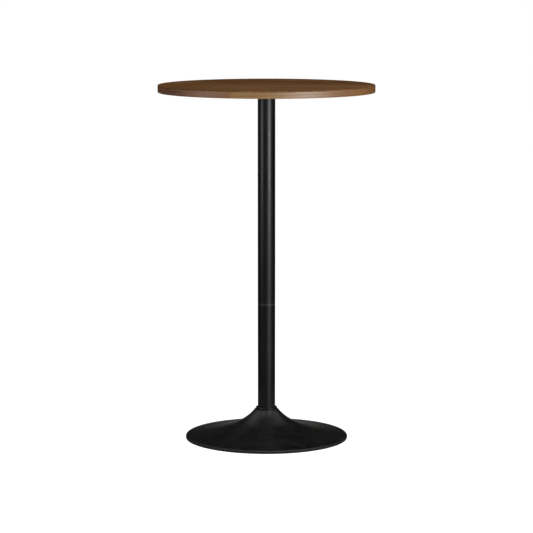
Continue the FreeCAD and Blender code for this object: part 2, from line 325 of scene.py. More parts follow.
class NodeSheet:
    """Node tree with short ways to add and link nodes."""

    def __init__(self, tree: bpy.types.NodeTree) -> None:
        """Wrap the node tree to draw in."""
        self.tree = tree

    def add(self, kind: str, inputs: dict | None = None, **settings: object) -> bpy.types.Node:
        """Add a node.

        Args:
            kind: Blender's name of the node type.
            inputs: Value or linked socket of each input, by name or number.
            settings: Other properties of the node.

        Returns:
            The new node.
        """
        node = self.tree.nodes.new(kind)
        for key, value in settings.items():
            setattr(node, key, value)
        self.feed(node, inputs or {})
        return node

    def feed(self, node: bpy.types.Node, inputs: dict) -> None:
        """Set or link inputs of a node.

        Args:
            node: The node.
            inputs: Value or linked socket of each input, by name or number.
        """
        for key, value in inputs.items():
            if isinstance(value, Socket):
                self.tree.links.new(value, node.inputs[key])
            else:
                node.inputs[key].default_value = value

    def math(self, operation: str, first: object, second: object = 0.0,
             clamp: bool = False) -> Socket:
        """Add a Math node and return its result."""
        node = self.add("ShaderNodeMath", {0: first, 1: second}, operation=operation,
                        use_clamp=clamp)
        return node.outputs[0]

    def plus(self, first: object, second: object, share: object) -> Socket:
        """Add a share of the second value to the first and return the sum."""
        return self.math("ADD", first, self.math("MULTIPLY", second, share))

    def parts(self, vector: Socket) -> dict:
        """Add a Separate XYZ node and return its outputs."""
        return self.add("ShaderNodeSeparateXYZ", {"Vector": vector}).outputs

    def joined(self, **parts: object) -> Socket:
        """Add a Combine XYZ node and return its vector."""
        return self.add("ShaderNodeCombineXYZ", parts).outputs["Vector"]

    def length(self, vector: Socket) -> Socket:
        """Add a Vector Math node and return the length of a vector."""
        node = self.add("ShaderNodeVectorMath", {0: vector}, operation="LENGTH")
        return node.outputs["Value"]

    def spread(self, value: Socket, low: float, high: float, new_low: float = 0.0,
               new_high: float = 1.0) -> Socket:
        """Add a smooth Map Range node and return its result."""
        node = self.add("ShaderNodeMapRange",
                        {"Value": value, "From Min": low, "From Max": high,
                         "To Min": new_low, "To Max": new_high},
                        interpolation_type="SMOOTHSTEP")
        return node.outputs["Result"]

    def scaled(self, vector: Socket, scale: Scale) -> Socket:
        """Add a Mapping node that scales a position and return the new position."""
        node = self.add("ShaderNodeMapping", {"Vector": vector, "Scale": scale})
        return node.outputs["Vector"]

    def noise(self, vector: Socket, scale: float | Socket, detail: float = 2.0,
              roughness: float = 0.5) -> Socket:
        """Add a Noise Texture and return its value."""
        node = self.add("ShaderNodeTexNoise",
                        {"Vector": vector, "Scale": scale, "Detail": detail,
                         "Roughness": roughness})
        return node.outputs[0]

    def blend(self, factor: object, first: object, second: object,
              mode: str = "MIX") -> Socket:
        """Add a colour Mix node and return its result."""
        node = self.add("ShaderNodeMix",
                        {MIX_FACTOR: factor, MIX_FIRST: first, MIX_SECOND: second},
                        data_type="RGBA", blend_type=mode)
        return node.outputs[MIX_RESULT]


def opaque(colour: Colour) -> tuple[float, float, float, float]:
    """Add full alpha to a colour."""
    return (*colour, 1.0)


def start_group(name: str, inputs: dict[str, str],
                outputs: dict[str, str]) -> tuple[NodeSheet, dict, bpy.types.Node]:
    """Start a shader node group.

    Args:
        name: Name of the group.
        inputs: Socket type of each input, by name.
        outputs: Socket type of each output, by name.

    Returns:
        The group's sheet, its input sockets by name, and its output node.
    """
    tree = bpy.data.node_groups.new(name, "ShaderNodeTree")
    for label, kind in inputs.items():
        tree.interface.new_socket(name=label, in_out="INPUT", socket_type=kind)
    for label, kind in outputs.items():
        tree.interface.new_socket(name=label, in_out="OUTPUT", socket_type=kind)
    sheet = NodeSheet(tree)
    entry = sheet.add("NodeGroupInput")
    leave = sheet.add("NodeGroupOutput")
    return sheet, entry.outputs, leave


FLOAT = "NodeSocketFloat"
VECTOR = "NodeSocketVector"
COLOUR = "NodeSocketColor"


@dataclass(frozen=True)
class WoodGrain:
    """Grain of the wooden pieces: scales per metre, lengths in metres, and weights."""

    wander_scale: Scale = (2.2, 9.0, 1.0)
    wander_detail: float = 3.0
    flutter_scale: Scale = (9.0, 60.0, 1.0)
    flutter: float = 0.0035
    broad_scale: Scale = (3.0, 11.0, 1.0)
    fibre_scale: Scale = (14.0, 900.0, 1.0)
    fibre_detail: float = 3.0
    fibre_roughness: float = 0.7
    pore_scale: Scale = (95.0, 1900.0, 1.0)
    pore_detail: float = 1.0
    pore_limits: Range = (0.6, 0.72)
    leaf_jump: float = 3.0
    heart_depth: float = 0.045
    heart_change: float = 0.05
    late_power: float = 2.6
    ring_end: Range = (0.94, 1.0)
    broad_tone: float = 0.9
    fibre_tone: float = 0.55
    ring_tone: float = 0.33
    pore_tone: float = 0.45
    light_limits: Range = (0.5, 0.95)
    dark_limits: Range = (0.2, 0.58)
    fibre_height: float = 0.4
    pore_dullness: float = 0.6
    ring_dullness: float = 0.2

    def group(self) -> bpy.types.NodeTree:
        """Make the shader group.

        Returns:
            A group that turns a position, with X along the fibres, into colour, height and
            dullness.
        """
        sheet, given, leave = start_group(
            "wood_grain",
            {"Position": VECTOR, "Dark": COLOUR, "Middle": COLOUR, "Light": COLOUR,
             "Leaf Width": FLOAT, "Ring Width": FLOAT, "Slant": FLOAT, "Wander": FLOAT},
            {"Colour": COLOUR, "Height": FLOAT, "Dullness": FLOAT})
        parts = sheet.parts(given["Position"])
        leaf = sheet.math("FLOOR", sheet.math("DIVIDE", parts["Y"], given["Leaf Width"]))
        chance = sheet.add("ShaderNodeTexWhiteNoise", {"W": leaf},
                           noise_dimensions="1D").outputs[0]
        middle = sheet.math("MULTIPLY", sheet.math("ADD", leaf, chance), given["Leaf Width"])
        inside = sheet.math("SUBTRACT", parts["Y"], middle)
        shifted = sheet.joined(X=sheet.math("ADD", parts["X"], chance), Y=parts["Y"],
                               Z=sheet.math("MULTIPLY", chance, self.leaf_jump))
        depth = sheet.plus(self.heart_depth, chance, self.heart_change)
        depth = sheet.plus(depth, parts["X"], given["Slant"])
        band = self.late_wood(sheet, given, shifted, inside, depth)
        broad = sheet.noise(sheet.scaled(shifted, self.broad_scale), 1.0)
        fibre = sheet.noise(sheet.scaled(shifted, self.fibre_scale), 1.0, self.fibre_detail,
                            self.fibre_roughness)
        pore = sheet.spread(sheet.noise(sheet.scaled(shifted, self.pore_scale), 1.0,
                                        self.pore_detail), *self.pore_limits)
        tone = sheet.plus(sheet.math("MULTIPLY", broad, self.broad_tone), fibre,
                          self.fibre_tone)
        tone = sheet.math("SUBTRACT", tone, sheet.math("MULTIPLY", band, self.ring_tone))
        pale = sheet.blend(sheet.spread(tone, *self.light_limits), given["Middle"],
                           given["Light"])
        mixed = sheet.blend(sheet.spread(tone, *self.dark_limits), given["Dark"], pale)
        pored = sheet.blend(sheet.math("MULTIPLY", pore, self.pore_tone), mixed,
                            given["Dark"])
        rise = sheet.math("SUBTRACT", sheet.math("MULTIPLY", fibre, self.fibre_height), pore)
        dull = sheet.plus(sheet.math("MULTIPLY", pore, self.pore_dullness), band,
                          self.ring_dullness)
        sheet.feed(leave, {"Colour": pored, "Height": rise, "Dullness": dull})
        return sheet.tree

    def late_wood(self, sheet: NodeSheet, given: dict, shifted: Socket, inside: Socket,
                  depth: Socket) -> Socket:
        """Draw the dark late wood of the yearly rings.

        Args:
            sheet: Sheet of the group.
            given: Inputs of the group.
            shifted: Position, moved by leaf.
            inside: Distance across the leaf from its middle.
            depth: Depth of the trunk's heart under the leaf.

        Returns:
            Mask that rises slowly over each ring and ends sharply.
        """
        wander = sheet.noise(sheet.scaled(shifted, self.wander_scale), 1.0,
                             self.wander_detail)
        flutter = sheet.noise(sheet.scaled(shifted, self.flutter_scale), 1.0)
        reach = sheet.math("SQRT", sheet.math("ADD", sheet.math("POWER", inside, 2.0),
                                              sheet.math("POWER", depth, 2.0)))
        bent = sheet.plus(reach, wander, given["Wander"])
        bent = sheet.plus(bent, flutter, self.flutter)
        ring = sheet.math("FRACT", sheet.math("DIVIDE", bent, given["Ring Width"]))
        return sheet.math("SUBTRACT", sheet.math("POWER", ring, self.late_power),
                          sheet.spread(ring, *self.ring_end), clamp=True)


@dataclass(frozen=True)
class EdgeWear:
    """Patchy rubbed edges of the coated and wooden pieces."""

    bevel_samples: int = 4
    turn_limits: Range = (0.995, 0.9)
    patch_scale: float = 90.0
    patch_detail: float = 3.0
    patch_roughness: float = 0.6
    patch_limits: Range = (0.42, 0.68)

    def group(self) -> bpy.types.NodeTree:
        """Make the shader group.

        Returns:
            A group that gives 1 on worn edges and 0 elsewhere.
        """
        sheet, given, leave = start_group(
            "edge_wear", {"Position": VECTOR, "Width": FLOAT, "Amount": FLOAT},
            {"Mask": FLOAT})
        rounded = sheet.add("ShaderNodeBevel", {"Radius": given["Width"]},
                            samples=self.bevel_samples).outputs[0]
        straight = sheet.add("ShaderNodeNewGeometry").outputs["Normal"]
        likeness = sheet.add("ShaderNodeVectorMath", {0: rounded, 1: straight},
                             operation="DOT_PRODUCT").outputs["Value"]
        turned = sheet.spread(likeness, *self.turn_limits)
        patch = sheet.spread(sheet.noise(given["Position"], self.patch_scale,
                                         self.patch_detail, self.patch_roughness),
                             *self.patch_limits)
        mask = sheet.math("MULTIPLY", sheet.math("MULTIPLY", turned, patch), given["Amount"])
        sheet.feed(leave, {"Mask": mask})
        return sheet.tree


@dataclass(frozen=True)
class Stipple:
    """Fine uneven skin of powder coat, castings, board and rubber."""

    slow_detail: float = 3.0
    speck_scale: float = 420.0
    speck_detail: float = 1.0

    def group(self) -> bpy.types.NodeTree:
        """Make the shader group.

        Returns:
            A group that gives a height, a slow tone and a fine tone from a position.
        """
        sheet, given, leave = start_group(
            "stipple", {"Position": VECTOR, "Grains": FLOAT, "Patches": FLOAT},
            {"Height": FLOAT, "Slow Tone": FLOAT, "Fine Tone": FLOAT})
        fine = sheet.noise(given["Position"], given["Grains"])
        slow = sheet.noise(given["Position"], given["Patches"], self.slow_detail)
        speck = sheet.noise(given["Position"], self.speck_scale, self.speck_detail)
        sheet.feed(leave, {"Height": fine, "Slow Tone": slow, "Fine Tone": speck})
        return sheet.tree


@dataclass(frozen=True)
class TurningMarks:
    """Fine rings that a lathe leaves on round metal."""

    ring_roughness: float = 0.6
    tone_scale: float = 60.0
    tone_detail: float = 3.0

    def group(self) -> bpy.types.NodeTree:
        """Make the shader group.

        Returns:
            A group that gives rings about the Z axis, as a height and a tone.
        """
        sheet, given, leave = start_group(
            "turning_marks", {"Position": VECTOR, "Rings": FLOAT},
            {"Height": FLOAT, "Tone": FLOAT})
        parts = sheet.parts(given["Position"])
        radius = sheet.length(sheet.joined(X=parts["X"], Y=parts["Y"]))
        run = sheet.joined(X=sheet.math("MULTIPLY", radius, given["Rings"]),
                           Y=sheet.math("MULTIPLY", parts["Z"], given["Rings"]))
        rings = sheet.noise(run, 1.0, roughness=self.ring_roughness)
        tone = sheet.noise(given["Position"], self.tone_scale, self.tone_detail)
        sheet.feed(leave, {"Height": rings, "Tone": tone})
        return sheet.tree


# Blend of the facing value, and its values between which sheen and lacquer change
FACING_BLEND = 0.5
SATIN_TURN: Range = (0.4, 0.9)
LACQUER_TURN: Range = (0.15, 0.75)

# Values of a slow noise between which colour and roughness change
TONE_LIMITS: Range = (0.3, 0.7)
DRIFT_LIMITS: Range = (0.25, 0.75)


@dataclass
class Draft:
    """Material in the making: its sheet, its shader and the object position."""

    material: bpy.types.Material
    sheet: NodeSheet
    shader: bpy.types.Node
    place: Socket

    def feed(self, inputs: dict) -> None:
        """Set or link inputs of the shader."""
        self.sheet.feed(self.shader, inputs)

    def matte(self, colour: Colour) -> None:
        """Make the shader quite dull."""
        self.feed({"Base Color": opaque(colour), "Roughness": 1.0, "Specular IOR Level": 0.0})

    def facing(self) -> Socket:
        """How far the surface turns away from the eye, for gloss alone."""
        turn = self.sheet.add("ShaderNodeLayerWeight", {"Blend": FACING_BLEND})
        return turn.outputs["Facing"]

    def height(self) -> Socket:
        """Height above the floor."""
        return self.sheet.parts(self.place)["Z"]

    def satin(self, roughness: Socket, dulled: float, gloss: float) -> None:
        """Set the sheen, which a fine stipple dulls where it is seen at a low angle.

        Args:
            roughness: Roughness seen head on.
            dulled: What is added to it seen edge on.
            gloss: Specular level.
        """
        low_angle = self.sheet.spread(self.facing(), *SATIN_TURN, 0.0, dulled)
        dull = self.sheet.math("ADD", roughness, low_angle, clamp=True)
        self.feed({"Roughness": dull, "Specular IOR Level": gloss})

    def lacquer(self, weight: Socket, low_weight: float, roughness: float) -> None:
        """Lay a clear lacquer, which the open pores hide where it is seen at a low angle.

        Args:
            weight: Weight of the lacquer seen head on.
            low_weight: Share of it that is left seen edge on.
            roughness: Its roughness.
        """
        share = self.sheet.spread(self.facing(), *LACQUER_TURN, 1.0, low_weight)
        faded = self.sheet.math("MULTIPLY", weight, share)
        self.feed({"Coat Weight": faded, "Coat Roughness": roughness})

    def bump(self, height: Socket, strength: float, distance: float) -> None:
        """Bend the shader's normals by a height, where 1 stands for the given distance."""
        node = self.sheet.add("ShaderNodeBump",
                              {"Height": height, "Strength": strength, "Distance": distance})
        self.feed({"Normal": node.outputs["Normal"]})


def start_material(name: str) -> Draft:
    """Start a material.

    Args:
        name: Name of the material.

    Returns:
        The material in the making.
    """
    material = bpy.data.materials.new(name)
    material.use_nodes = True
    sheet = NodeSheet(material.node_tree)
    shader = material.node_tree.nodes["Principled BSDF"]
    place = sheet.add("ShaderNodeTexCoord").outputs["Object"]
    return Draft(material, sheet, shader, place)


class Workshop:
    """Shader groups that the finishes share, each made once."""

    def __init__(self) -> None:
        """Make the shared groups."""
        self.groups = {
            "wood_grain": WoodGrain().group(),
            "edge_wear": EdgeWear().group(),
            "stipple": Stipple().group(),
            "turning_marks": TurningMarks().group(),
        }

    def group(self, sheet: NodeSheet, name: str, inputs: dict) -> bpy.types.Node:
        """Place a shared group in a material, set or link its inputs and return it."""
        return sheet.add("ShaderNodeGroup", inputs, node_tree=self.groups[name])


@dataclass(frozen=True)
class Walnut:
    """Stained walnut under a thin satin lacquer."""

    name: str
    run: GrainRun
    dark: Colour
    middle: Colour
    light: Colour
    leaf_width: float
    ring_width: float
    slant: float
    wander: float
    lacquer: float
    low_lacquer: float
    edge_lacquer: float
    lacquer_roughness: float
    lacquer_index: float
    wear: float
    # Stains of the strip's two lengths: the lengths and their joint are the wood's own, but the
    # change along each, darker at the far left and paler towards the front, is painted light
    # and shade
    woods_with_painted_light: tuple[Colour, Colour, Colour, Colour] | None = None
    first_turn: Range = (-1.1, -0.5)
    second_turn: Range = (-0.1, 0.7)
    joint: Range = (-0.35, -0.29)
    lacquer_turn: Range = (-0.35, -0.1)
    rim_radius: float = 0.3
    arris: Range = (0.988, 0.9886)
    roughness: float = 0.7
    pore_roughness: float = 0.82
    dullness_limit: float = 0.6
    wear_width: float = 0.0012
    relief: float = 0.00012
    relief_strength: float = 0.35

    def material(self, shop: Workshop) -> bpy.types.Material:
        """Make the material.

        Args:
            shop: The shared shader groups.

        Returns:
            The finished material.
        """
        draft = start_material(self.name)
        sheet = draft.sheet
        along = draft.place
        if self.run is GrainRun.ROUND_THE_RIM:
            along = self.round_the_rim(draft)
        grain = shop.group(sheet, "wood_grain",
                           {"Position": along, "Dark": opaque(self.dark),
                            "Middle": opaque(self.middle), "Light": opaque(self.light),
                            "Leaf Width": self.leaf_width, "Ring Width": self.ring_width,
                            "Slant": self.slant, "Wander": self.wander})
        rubbed = shop.group(sheet, "edge_wear",
                            {"Position": draft.place, "Width": self.wear_width,
                             "Amount": self.wear})
        wood = sheet.blend(rubbed.outputs["Mask"], grain.outputs["Colour"],
                           opaque(self.light))
        draft.feed({"Base Color": self.two_woods_with_painted_light(draft, wood) if self.woods_with_painted_light else wood,
                    "Coat IOR": self.lacquer_index})
        rough = sheet.spread(grain.outputs["Dullness"], 0.0, self.dullness_limit,
                             self.roughness, self.pore_roughness)
        draft.satin(rough, dulled=0.0, gloss=0.0)
        draft.lacquer(self.edge_fade(draft), self.low_lacquer, self.lacquer_roughness)
        draft.bump(grain.outputs["Height"], self.relief_strength, self.relief)
        return draft.material

    def angle(self, draft: Draft) -> Socket:
        """Measure the place round the table.

        Args:
            draft: The material in the making.

        Returns:
            Angle from the front in radians, rising to the right.
        """
        sheet = draft.sheet
        parts = sheet.parts(draft.place)
        return sheet.math("ARCTAN2", parts["X"], sheet.math("MULTIPLY", parts["Y"], -1.0))

    def round_the_rim(self, draft: Draft) -> Socket:
        """Unroll the rim, with X along it and Y up it, so that the fibres follow it."""
        run = draft.sheet.math("MULTIPLY", self.angle(draft), self.rim_radius)
        return draft.sheet.joined(X=run, Y=draft.height())

    def two_woods_with_painted_light(self, draft: Draft, wood: Socket) -> Socket:
        """Stain the grain in two lengths that meet at a joint; the change of each along the rim
        is painted light and shade.

        Args:
            draft: The material in the making.
            wood: Colour of the grain.

        Returns:
            The stained colour, with its painted light and shade.
        """
        sheet = draft.sheet
        angle = self.angle(draft)
        first_start, first_end, second_start, second_end = map(opaque, self.woods_with_painted_light)
        first = sheet.blend(sheet.spread(angle, *self.first_turn), first_start, first_end)
        second = sheet.blend(sheet.spread(angle, *self.second_turn), second_start,
                             second_end)
        stain_with_painted_light = sheet.blend(sheet.spread(angle, *self.joint), first, second)
        return sheet.blend(1.0, wood, stain_with_painted_light, "MULTIPLY")

    def edge_fade(self, draft: Draft) -> Socket:
        """Thin the lacquer on the edge of the sheet, or on the first length of the strip.

        Args:
            draft: The material in the making.

        Returns:
            Weight of the lacquer.
        """
        place, limits = draft.height(), self.arris
        if self.woods_with_painted_light:
            place, limits = self.angle(draft), self.lacquer_turn
        return draft.sheet.spread(place, *limits, self.edge_lacquer, self.lacquer)


@dataclass(frozen=True)
class Coat:
    """Skin with a fine stipple: powder coat, primer, rubber, board or laminate."""

    name: str
    colour: Colour
    shade: Colour
    worn: Colour
    gloss: float
    roughness: float
    dulled: float
    grains: float
    relief: float
    wear: float
    patches: float = 9.0
    # Heights and colour of a paler ring just below the seam: a painted highlight where the
    # lower tube's drawn-in edge catches the light
    seam_highlight_band: Range | None = None
    seam_highlight_colour: Colour = (0.05, 0.05, 0.051)
    seam_highlight_fade: float = 0.0002
    scuffed_rim: Range | None = None
    scuffed: float = 0.4
    fleck_limits: Range = (0.62, 0.8)
    fleck: float = 0.25
    drift: float = 0.04
    wear_width: float = 0.0008
    relief_strength: float = 0.3

    def material(self, shop: Workshop) -> bpy.types.Material:
        """Make the material.

        Args:
            shop: The shared shader groups.

        Returns:
            The finished material.
        """
        draft = start_material(self.name)
        sheet = draft.sheet
        skin = shop.group(sheet, "stipple", {"Position": draft.place, "Grains": self.grains,
                                             "Patches": self.patches})
        toned = sheet.blend(sheet.spread(skin.outputs["Slow Tone"], *TONE_LIMITS),
                            opaque(self.shade), opaque(self.colour))
        flecks = sheet.spread(skin.outputs["Fine Tone"], *self.fleck_limits, 0.0, self.fleck)
        flecked = sheet.blend(flecks, toned, opaque(self.worn))
        rubbed = shop.group(sheet, "edge_wear",
                            {"Position": draft.place, "Width": self.wear_width,
                             "Amount": self.wear})
        worn = sheet.blend(rubbed.outputs["Mask"], flecked, opaque(self.worn))
        # The paler ring below the seam is a painted highlight
        draft.feed({"Base Color": self.ring(draft, worn) if self.seam_highlight_band else worn})
        rough = sheet.spread(skin.outputs["Slow Tone"], *DRIFT_LIMITS,
                             self.roughness - self.drift, self.roughness + self.drift)
        draft.satin(self.scuff(draft, rough) if self.scuffed_rim else rough, self.dulled,
                    self.gloss)
        draft.bump(skin.outputs["Height"], self.relief_strength, self.relief)
        return draft.material

    def ring(self, draft: Draft, colour: Socket) -> Socket:
        """Lay a paler ring just below the seam: a painted highlight of the light on the lower
        tube's drawn-in edge.

        Args:
            draft: The material in the making.
            colour: Colour of the coat elsewhere.

        Returns:
            The colour with the painted highlight.
        """
        sheet = draft.sheet
        bottom, top = self.seam_highlight_band
        height = draft.height()
        above = sheet.spread(height, bottom - self.seam_highlight_fade, bottom)
        below = sheet.spread(height, top, top + self.seam_highlight_fade, 1.0, 0.0)
        return sheet.blend(sheet.math("MULTIPLY", above, below), colour, opaque(self.seam_highlight_colour))

    def scuff(self, draft: Draft, roughness: Socket) -> Socket:
        """Return the roughness, duller along the rim, where shoes rub the coat."""
        added = draft.sheet.spread(draft.height(), *self.scuffed_rim, self.scuffed, 0.0)
        return draft.sheet.math("ADD", roughness, added, clamp=True)


@dataclass(frozen=True)
class BareMetal:
    """Machined or plated metal with turning marks."""

    name: str
    colour: Colour
    shade: Colour
    roughness: float
    rings: float
    relief: float
    gloss: float = 0.5
    duller: float = 0.08
    brighter: float = 0.04
    relief_strength: float = 0.25

    def material(self, shop: Workshop) -> bpy.types.Material:
        """Make the material.

        Args:
            shop: The shared shader groups.

        Returns:
            The finished material.
        """
        draft = start_material(self.name)
        sheet = draft.sheet
        marks = shop.group(sheet, "turning_marks",
                           {"Position": draft.place, "Rings": self.rings})
        toned = sheet.blend(sheet.spread(marks.outputs["Tone"], *TONE_LIMITS),
                            opaque(self.shade), opaque(self.colour))
        draft.feed({"Base Color": toned, "Metallic": 1.0})
        rough = sheet.spread(marks.outputs["Tone"], *DRIFT_LIMITS,
                             self.roughness + self.duller, self.roughness - self.brighter)
        draft.satin(rough, dulled=0.0, gloss=self.gloss)
        draft.bump(marks.outputs["Height"], self.relief_strength, self.relief)
        return draft.material


WALNUT_FACE = Walnut("walnut_face_finish", GrainRun.ACROSS_THE_TOP,
                     dark=(0.06, 0.025, 0.0078), middle=(0.11, 0.05, 0.0185),
                     light=(0.176, 0.091, 0.04), leaf_width=0.17, ring_width=0.0085,
                     slant=0.11, wander=0.05, lacquer=0.6, low_lacquer=0.02,
                     edge_lacquer=0.08, lacquer_roughness=0.45, lacquer_index=1.5, wear=0.2)
# The strip's stains darken its far left end and pale it towards the front: painted light and
# shade over two lengths of real wood
WALNUT_STRIP = Walnut("walnut_strip_finish", GrainRun.ROUND_THE_RIM,
                      dark=(0.105, 0.043, 0.015), middle=(0.2, 0.1, 0.042),
                      light=(0.3, 0.165, 0.08), leaf_width=0.9, ring_width=0.006,
                      slant=0.02, wander=0.008, lacquer=1.0, low_lacquer=0.02,
                      edge_lacquer=0.45, lacquer_roughness=0.54, lacquer_index=1.75,
                      wear=0.2,
                      woods_with_painted_light=((0.56, 0.5, 0.68), (1.12, 1.0, 1.06),
                             (1.42, 1.48, 1.2), (0.85, 0.8, 0.66)))
# Its paler ring at the seam is a painted highlight
BLACK_COAT = Coat("black_coat_finish", colour=(0.0045, 0.0045, 0.0047),
                  shade=(0.003, 0.003, 0.0031), worn=(0.025, 0.025, 0.026), gloss=0.5,
                  roughness=0.42, dulled=0.05, grains=900.0, relief=0.00004, wear=0.12,
                  seam_highlight_band=(0.3774, 0.3799))
# Paler than the column's coat of the same black: painted light that lifts the foot's flats
BLACK_SHELL = Coat("black_shell_finish", colour=(0.0085, 0.0085, 0.0087),
                   shade=(0.0032, 0.0032, 0.0033), worn=(0.03, 0.03, 0.031), gloss=0.5,
                   roughness=0.385, dulled=0.05, grains=900.0, relief=0.00004, wear=0.12,
                   patches=38.0, scuffed_rim=(0.005, 0.0086))
BACKING = Coat("backing_sheet_finish", colour=(0.05, 0.035, 0.026),
               shade=(0.042, 0.03, 0.022), worn=(0.08, 0.06, 0.045), gloss=0.3,
               roughness=0.6, dulled=0.2, grains=1400.0, relief=0.00004, wear=0.0)
BOARD = Coat("core_board_finish", colour=(0.36, 0.25, 0.15), shade=(0.28, 0.19, 0.11),
             worn=(0.45, 0.34, 0.22), gloss=0.2, roughness=0.85, dulled=0.1,
             grains=1100.0, relief=0.0002, wear=0.0)
CASTING = Coat("cast_weight_finish", colour=(0.055, 0.056, 0.058), shade=(0.04, 0.04, 0.042),
               worn=(0.12, 0.115, 0.11), gloss=0.4, roughness=0.6, dulled=0.2,
               grains=330.0, relief=0.0006, wear=0.5)
RUBBER = Coat("rubber_ring_finish", colour=(0.018, 0.018, 0.018), shade=(0.013, 0.013, 0.013),
              worn=(0.05, 0.05, 0.05), gloss=0.3, roughness=0.7, dulled=0.2,
              grains=1500.0, relief=0.00005, wear=0.4)
ZINC = BareMetal("zinc_steel_finish", colour=(0.62, 0.62, 0.6), shade=(0.5, 0.5, 0.5),
                 roughness=0.32, rings=3000.0, relief=0.00002)
TURNED = BareMetal("turned_steel_finish", colour=(0.42, 0.42, 0.42), shade=(0.33, 0.33, 0.33),
                   roughness=0.35, rings=2200.0, relief=0.00004)
BRASS = BareMetal("brass_insert_finish", colour=(0.75, 0.56, 0.26), shade=(0.6, 0.42, 0.18),
                  roughness=0.3, rings=3000.0, relief=0.00003)


@dataclass
class Tabletop:
    """Walnut top: sheet over a board and its edge strip, and the backing sheet."""

    radius: float
    core_radius: float
    bottom: float
    core_top: float
    top: float
    corner: float = 0.0016
    joint_ease: float = 0.00015
    strip_joint: float = 0.00035
    clearance: float = 0.00003

    @classmethod
    def from_frame(cls) -> "Tabletop":
        """Take the sizes from the CAD nodes.

        Returns:
            The top, ready to build.
        """
        face = span_of("walnut_face")
        core = span_of("tabletop_core")
        strip = span_of("walnut_edge_band")
        return cls(face.radius - cls.clearance, core.radius, strip.bottom, face.bottom,
                   face.top)

    def face_sheet(self) -> bmesh.types.BMesh:
        """Sheet over board and strip, rounded along its upper rim.

        Returns:
            The finished shape.
        """
        outline = Lathe(0.0, self.core_top)
        outline.line(self.radius, self.core_top).line(self.radius, self.top)
        outline.line(0.0, self.top)
        mesh = outline.spun(Facets.LARGE)
        soften_rim(mesh, self.radius, self.top, self.corner, Facets.FINE_ARC)
        soften_rim(mesh, self.radius, self.core_top, self.joint_ease)
        return mesh

    def edge_strip(self) -> bmesh.types.BMesh:
        """Strip round the board, whose two ends meet in a hairline joint at the back.

        Returns:
            The finished shape.
        """
        outline = Lathe.ring(self.core_radius, self.radius, self.bottom, self.core_top)
        mesh = outline.spun(Facets.LARGE, gap=self.strip_joint / self.radius)
        soften_rim(mesh, self.radius, self.bottom, self.corner, Facets.FINE_ARC)
        soften_rim(mesh, self.radius, self.core_top, self.joint_ease)
        return mesh

    def build(self, shop: Workshop) -> list[bpy.types.Object]:
        """Make and dress the pieces of the top.

        Args:
            shop: The shared shader groups.

        Returns:
            The pieces.
        """
        return [
            add_piece(self.face_sheet(), "face_sheet", WALNUT_FACE.material(shop),
                      "walnut_sheet", "walnut_face"),
            add_piece(self.edge_strip(), "edge_strip", WALNUT_STRIP.material(shop),
                      "walnut_edge", "walnut_edge_band"),
            dress_node("tabletop_core", BOARD.material(shop)),
            dress_node("underside_backing", BACKING.material(shop)),
            dress_node("threaded_inserts", BRASS.material(shop)),
        ]


@dataclass
class Column:
    """Tubes of the column, the collar at its foot and what is hidden in its ends."""

    radius: float
    foot: float
    seam: float
    top: float
    collar_radius: float
    collar_bottom: float
    collar_top: float
    wall: float = 0.0015
    seam_chamfer: float = 0.0003
    taper_inset: float = 0.0006
    taper_height: float = 0.0024
    collar_corner: float = 0.0018

    @classmethod
    def from_frame(cls) -> "Column":
        """Take the sizes from the CAD nodes.

        Returns:
            The column, ready to build.
        """
        lower = span_of("lower_column_tube")
        upper = span_of("upper_column_tube")
        collar = span_of("column_collar")
        return cls(upper.radius, lower.bottom, upper.bottom, upper.top, collar.radius,
                   collar.bottom, collar.top)

    def upper_tube(self) -> bmesh.types.BMesh:
        """Upper tube, with its lower edge broken at the seam.

        Returns:
            The finished shape.
        """
        outline = Lathe.ring(self.radius - self.wall, self.radius, self.seam, self.top)
        mesh = outline.spun(Facets.MEDIUM)
        soften_rim(mesh, self.radius, self.seam, self.seam_chamfer)
        return mesh

    def lower_tube(self) -> bmesh.types.BMesh:
        """Lower tube, drawn in a little below the seam.

        Returns:
            The finished shape.
        """
        bore = self.radius - self.wall
        outline = Lathe(bore, self.foot).line(self.radius, self.foot)
        outline.line(self.radius, self.seam - self.taper_height)
        outline.line(self.radius - self.taper_inset, self.seam)
        outline.line(bore, self.seam).close()
        return outline.spun(Facets.MEDIUM)

    def collar(self) -> bmesh.types.BMesh:
        """Ring at the foot of the column, with a rounded upper edge.

        Returns:
            The finished shape.
        """
        outline = Lathe.ring(self.radius, self.collar_radius, self.collar_bottom,
                             self.collar_top)
        mesh = outline.spun(Facets.MEDIUM)
        soften_rim(mesh, self.collar_radius, self.collar_top, self.collar_corner,
                   Facets.FINE_ARC)
        return mesh

    def build(self, shop: Workshop, coat: bpy.types.Material) -> list[bpy.types.Object]:
        """Make and dress the pieces of the column.

        Args:
            shop: The shared shader groups.
            coat: The black coat.

        Returns:
            The pieces.
        """
        pieces = [
            add_piece(self.upper_tube(), "upper_tube", coat, "black_coat",
                      "upper_column_tube"),
            add_piece(self.lower_tube(), "lower_tube", coat, "black_coat",
                      "lower_column_tube"),
            add_piece(self.collar(), "collar_ring", coat, "black_coat", "column_collar"),
        ]
        turned = TURNED.material(shop)
        for node in ("top_plug", "upper_joint_plug", "lower_joint_plug", "foot_plug"):
            pieces.append(dress_node(node, turned))
        return pieces


